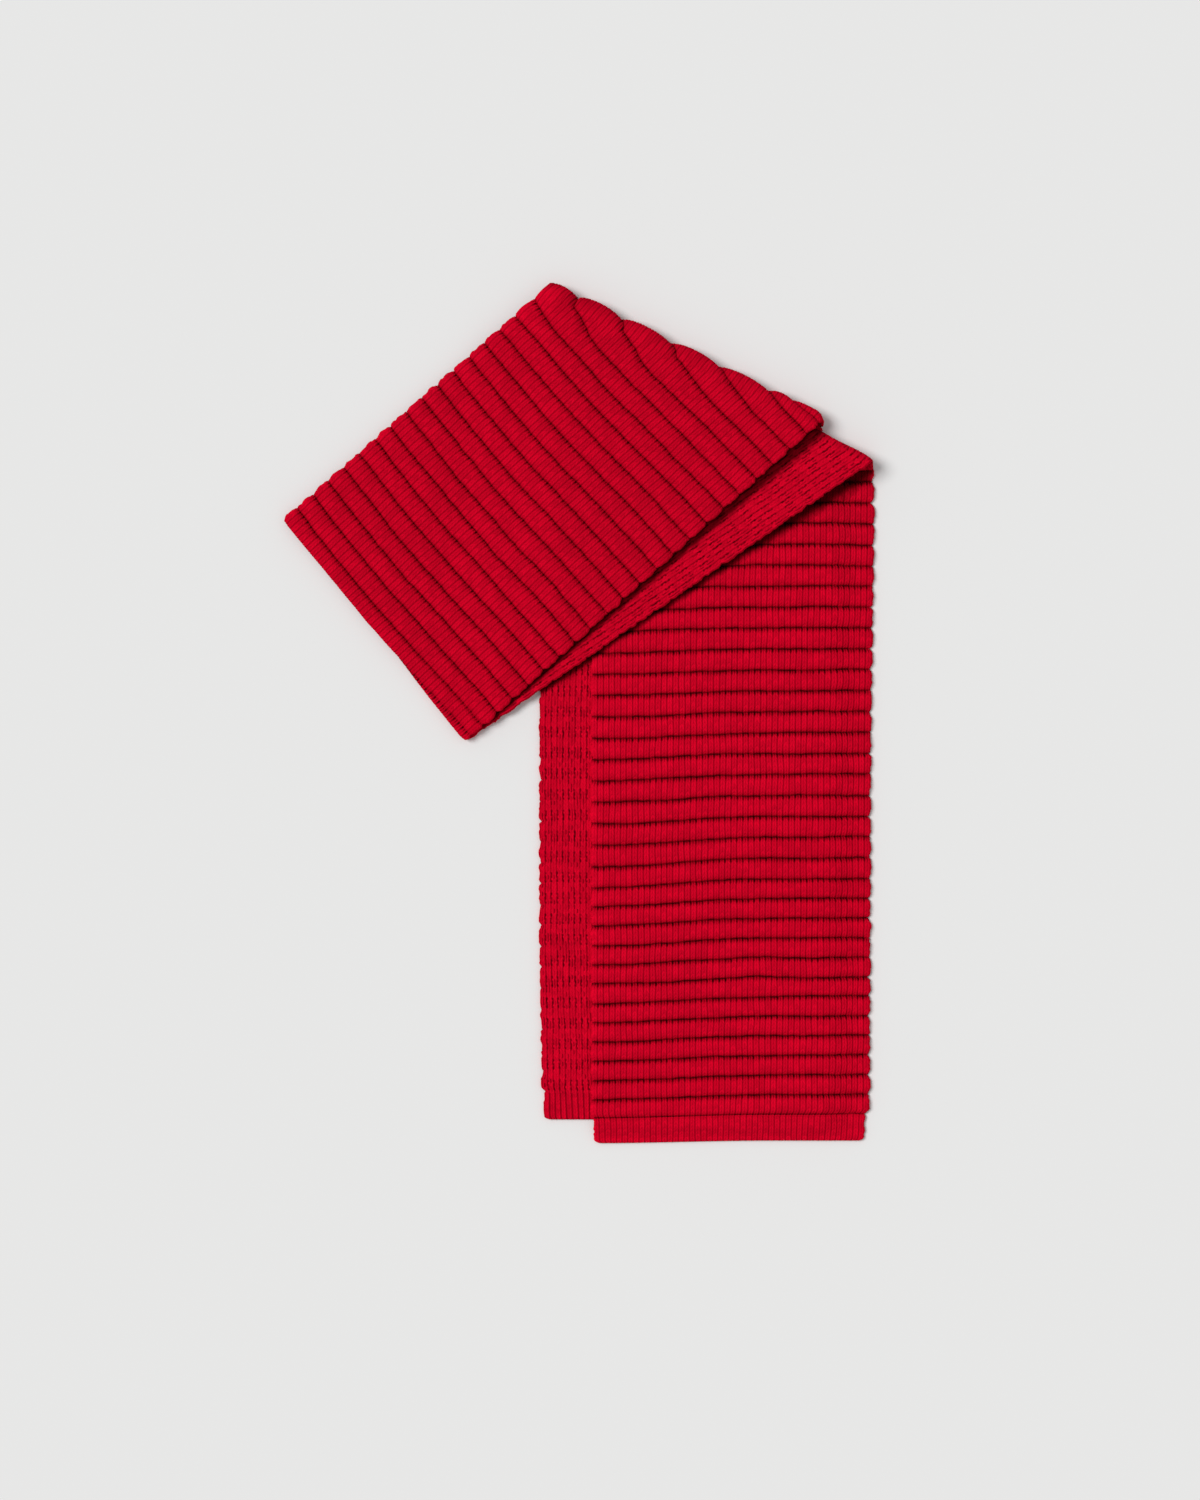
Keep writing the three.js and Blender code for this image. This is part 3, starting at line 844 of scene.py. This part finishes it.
class Knit(Nodes):
    """Knit stitches from the cloth's own coordinates: stitches across, and stitch rows along."""

    def __init__(self, name):
        super().__init__(name)
        uv = self.add("ShaderNodeUVMap", uv_map="cloth")
        parts = self.add("ShaderNodeSeparateXYZ")
        self.link(uv.outputs["UV"], parts.inputs[0])
        wale, self.course = parts.outputs["X"], parts.outputs["Y"]

        # Each stitch has two legs, halfway between its middle and the gap beside it
        place = self.math("SUBTRACT", self.math("FRACT", wale), 0.5)
        centre = self.product(self.math("ABSOLUTE", place), 2.0)
        off_leg = self.math("POWER", self.math("SUBTRACT", self.product(centre, 2.0), 1.0), 2.0)
        legs = self.less(self.product(off_leg, self.ramp(centre, 0.3, 0.7, 0.5, 1.0)))
        leaning = self.math("ADD", self.course, self.product(centre, 0.8))
        segment = self.math("POWER", self.stripes(leaning), 0.7)
        self.height = self.product(legs, self.math("ADD", 0.55, self.product(segment, 0.45)))
        self.between = self.ramp(centre, 0.4, 0.9, 0.0, 1.0)
        off_middle = self.product(self.math("ABSOLUTE", self.math("SUBTRACT", centre, 0.5)), 2.0)
        self.beside_leg = self.ramp(off_middle, 0.3, 0.95, 0.0, 1.0)

        self.column = self.math("FLOOR", wale)
        gap = self.math("ROUND", self.product(wale, 2.0))
        self.uneven = self.speckle(self.column, self.math("FLOOR", leaning))
        self.gap_uneven = self.speckle(gap, self.math("FLOOR", self.course))
        self.rise = self.attribute("rise")

    def stripes(self, value):
        return self.math("ABSOLUTE", self.math("SINE", self.product(value, math.pi)))

    def turn(self, courses):
        """How far round a rib the stitch row is, from 0 to 1."""
        return self.math("FRACT", self.math("DIVIDE", self.course, courses))

    def smooth_shade(self):
        """The smooth side, with painted shade in the gaps between its stitches: dashes that are darkest
        behind the creases, lines in the plain stitches of the bands, and dots all over.
        """
        plain = self.ramp(self.rise, 1.2, 1.8, 0.0, 1.0)
        # Painted shade in the groove between the legs of each stitch
        shade = self.ramp(self.height, 0.0, 0.85, 0.92, 1.0)
        turn = self.turn(BACK_COURSES)
        zone = self.product(self.ramp(turn, 0.4, 0.5, 0.0, 1.0), self.ramp(turn, 0.92, 1.0, 1.0, 0.0))
        zone = self.product(zone, self.less(plain))
        # Painted shade in the holes between stitches, as staggered dashes, lines in the bands and dots
        staggered = self.math("ADD", self.product(self.course, 0.5), self.product(self.column, 0.5))
        dash = self.ramp(self.stripes(staggered), 0.2, 0.6, 0.0, 1.0)
        dash = self.product(dash, self.between, self.ramp(self.uneven, 0.0, 1.0, 0.45, 1.0))
        dashes = self.product(dash, self.ramp(zone, 0.0, 1.0, 0.12, 0.8))
        lines = self.product(self.between, plain, 0.35)
        dots = self.product(self.beside_leg, self.ramp(self.gap_uneven, 0.45, 1.0, 0.0, 0.65))
        dots = self.product(dots, self.ramp(plain, 0.0, 1.0, 1.0, 0.35))
        return self.product(shade, self.less(dashes), self.less(lines), self.less(dots))

    def ribbed_shade(self):
        """The ribbed side, with painted shade: in the grooves between the stitches, as strokes in the gaps
        that are darkest on each rib's far slope, and in the creases.
        """
        # Painted shade in the grooves between stitches, stronger on the ribs' slopes than on their tops
        groove = self.ramp(self.height, 0.0, 0.85, 1.0, 0.0)
        shade = self.less(self.product(groove, self.ramp(self.rise, 0.5, 1.0, 0.45, 0.28)))
        # Painted shade as dark strokes in the gaps between stitches, strongest on each rib's far slope
        slope = self.ramp(self.turn(FACE_COURSES), 0.5, 0.7, 0.0, 1.0)
        zone = self.product(slope, self.ramp(self.rise, 0.5, 0.98, 1.0, 0.0))
        short = self.product(self.beside_leg, self.ramp(self.gap_uneven, 0.0, 1.0, 0.2, 0.7))
        long = self.product(self.between, self.ramp(self.uneven, 0.0, 1.0, 0.45, 0.95))
        strokes = self.product(self.math("MAXIMUM", short, long), self.ramp(zone, 0.0, 1.0, 0.16, 1.0))
        # Painted shade in the creases, uneven from stitch to stitch
        crease = self.math("FLOOR", self.math("ADD", self.math("DIVIDE", self.course, FACE_COURSES), 0.5))
        in_crease = self.ramp(self.rise, 0.03, 0.75, 1.0, 0.0)
        hidden = self.product(in_crease, self.ramp(self.speckle(self.column, crease), 0, 1, 0.35, 0.8))
        return self.product(shade, self.less(strokes), self.less(hidden))


RED = (0.66, 0.0013, 0.0196)
SHEEN_TINT = (1.0, 0.06, 0.14, 1)
PATCH_SCALE = 38.0  # lumps of tone, in waves a metre, and the fluff on the yarn
FLUFF_SCALE = 1400.0
FLUFF_RELIEF = 0.35
BUMP_DEPTH = 0.0008


def knit_material(name, shade_of):
    knit = Knit(name)
    patch = knit.grain(PATCH_SCALE, detail=3.0)
    fluff = knit.grain(FLUFF_SCALE, detail=2.0)
    # Painted shade carried by the mesh: an even darkening of each piece, and the shade beside and under the
    # layer that lies on it
    shade = knit.product(shade_of(knit), knit.less(knit.attribute("cover")))
    shade = knit.product(shade, knit.ramp(knit.uneven, 0.0, 1.0, 0.9, 1.1))
    shade = knit.product(shade, knit.ramp(patch, 0.3, 0.7, 0.97, 1.03))
    shade = knit.product(shade, knit.ramp(fluff, 0.25, 0.75, 0.86, 1.12))
    tint = knit.add("ShaderNodeMix", data_type="RGBA", blend_type="MULTIPLY")
    tint.inputs["Factor"].default_value = 1.0
    tint.inputs["A"].default_value = (*RED, 1)
    knit.link(shade, tint.inputs["B"])

    bump = knit.add("ShaderNodeBump")
    bump.inputs["Strength"].default_value = 0.9
    bump.inputs["Distance"].default_value = BUMP_DEPTH
    knit.link(knit.math("ADD", knit.height, knit.product(fluff, FLUFF_RELIEF)), bump.inputs["Height"])

    shader = knit.add("ShaderNodeBsdfPrincipled")
    shader.inputs["Roughness"].default_value = 0.95
    shader.inputs["Specular IOR Level"].default_value = 0.0
    shader.inputs["Sheen Weight"].default_value = 0.03
    shader.inputs["Sheen Roughness"].default_value = 0.5
    shader.inputs["Sheen Tint"].default_value = SHEEN_TINT
    knit.link(tint.outputs["Result"], shader.inputs["Base Color"])
    knit.link(bump.outputs["Normal"], shader.inputs["Normal"])
    return knit.finish(shader)


MATERIALS = (knit_material("ribbed_knit", Knit.ribbed_shade), knit_material("smooth_knit", Knit.smooth_shade))

# Pieces
LOWER_EDGE = (END_LOWER, FRONT_LOW[1])
UPPER_EDGE = (END_LOWER, BACK_LOW[1])
FRONT_SPLIT = 31.5  # ribs from the hem
BACK_SPLIT = 24.5  # ribs from the scarf's middle
DENSE_RIBS = (16, 23)  # ribs that bend over the upper fold, and have twice the rows
BAND_ROWS = band_rows()
# Each piece's layer shade value is painted shade: an even darkening of its whole colour, a little different
# from piece to piece
PIECES = [
    {
        "name": "front_end",
        "cloth": Cloth(
            front_strip,
            np.concatenate([-BAND_ROWS[::-1], rows_between(0, FRONT_SPLIT)]),
            from_hem=True,
            ribbed_columns=fine_columns,
            smooth_columns=coarse_columns,
        ),
        "scallop": 2.2,
        "edge_above": LOWER_EDGE,
        "painted_layer_shade": 0,
        "nodes": ["front_fall"],
        "slot": "ribbed_knit",
        "length": 0.583,
    },
    {
        "name": "lower_layer",
        "cloth": Cloth(
            front_strip,
            rows_between(FRONT_SPLIT, FRONT_TOTAL - END_START),
            from_hem=True,
            ribbed_columns=coarse_columns,
            smooth_columns=fine_columns,
        ),
        "scallop": 0.7,
        "edge_above": UPPER_EDGE,
        "painted_layer_shade": 0.06,
        "nodes": ["lower_wrap", "lower_turn"],
        "slot": "smooth_knit",
        "length": 0.438,
    },
    {
        "name": "upper_layer",
        "cloth": Cloth(
            back_strip,
            rows_between(END_START - back_strip.end_around, BACK_SPLIT, DENSE_RIBS),
            from_hem=False,
            ribbed_columns=fine_columns,
            smooth_columns=coarse_columns,
        ),
        "scallop": 2.2,
        "edge_above": None,
        "painted_layer_shade": 0.09,
        "nodes": ["upper_wrap", "upper_turn", "end_turn"],
        "slot": "ribbed_knit",
        "length": 0.438,
    },
    {
        "name": "back_end",
        "cloth": Cloth(
            back_strip,
            np.concatenate([rows_between(BACK_SPLIT, BACK_TOTAL), BACK_TOTAL + BAND_ROWS]),
            from_hem=False,
            ribbed_columns=coarse_columns,
            smooth_columns=half_fine_columns,
        ),
        "scallop": 1.6,
        "edge_above": LOWER_EDGE,
        "painted_layer_shade": 0.04,
        "nodes": ["back_fall"],
        "slot": "smooth_knit",
        "length": 0.601,
    },
]
for facts in PIECES:
    piece = strip_piece(facts["name"], facts["cloth"], facts["scallop"], facts["edge_above"], facts["painted_layer_shade"])
    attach(piece, "root")
    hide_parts(*facts["nodes"])


# Floor, light and camera
FLOOR = 30.0
FLOOR_COLOUR = (0.8, 0.8, 0.795, 1)
floor_corners = [(-FLOOR, -FLOOR, 0), (FLOOR, -FLOOR, 0), (FLOOR, FLOOR, 0), (-FLOOR, FLOOR, 0)]
floor_mesh = bpy.data.meshes.new("floor")
floor_mesh.from_pydata(floor_corners, [], [(0, 1, 2, 3)])
floor = bpy.data.objects.new("floor", floor_mesh)
bpy.context.scene.collection.objects.link(floor)
paper = Nodes("pale_floor")
floor_shader = paper.add("ShaderNodeBsdfDiffuse")
floor_shader.inputs["Color"].default_value = FLOOR_COLOUR
floor_mesh.materials.append(paper.finish(floor_shader))

AMBIENT = 0.45  # share of the light that comes from all round
ELEVATION = math.radians(54)
TURN = math.radians(16)  # how far the light comes from above the photo's left
SOFTNESS = math.radians(28)
world = bpy.data.worlds.new("studio")
world.use_nodes = True
world.node_tree.nodes["Background"].inputs["Color"].default_value = (1, 1, 1, 1)
world.node_tree.nodes["Background"].inputs["Strength"].default_value = AMBIENT
bpy.context.scene.world = world
sun = bpy.data.lights.new("key", "SUN")
sun.energy = (1 - AMBIENT) * math.pi / math.sin(ELEVATION)
sun.angle = SOFTNESS
key = bpy.data.objects.new("key", sun)
key.rotation_euler = (math.pi / 2 - ELEVATION, 0, -math.pi / 2 - TURN)
bpy.context.scene.collection.objects.link(key)

VIEW_HEIGHT = 1.2945  # metres of surface from the top to the bottom of the picture
DISTANCE = 4.0
SENSOR = 36
CAMERA_X = 0.0198
CAMERA_Y = -0.0328
camera_data = bpy.data.cameras.new("camera")
camera_data.sensor_width = SENSOR
camera_data.lens = SENSOR * DISTANCE / VIEW_HEIGHT
camera_data.clip_end = 100
camera = bpy.data.objects.new("camera", camera_data)
camera.location = (CAMERA_X, CAMERA_Y, DISTANCE)
bpy.context.scene.collection.objects.link(camera)
bpy.context.scene.camera = camera
bpy.context.scene.view_settings.view_transform = "Standard"
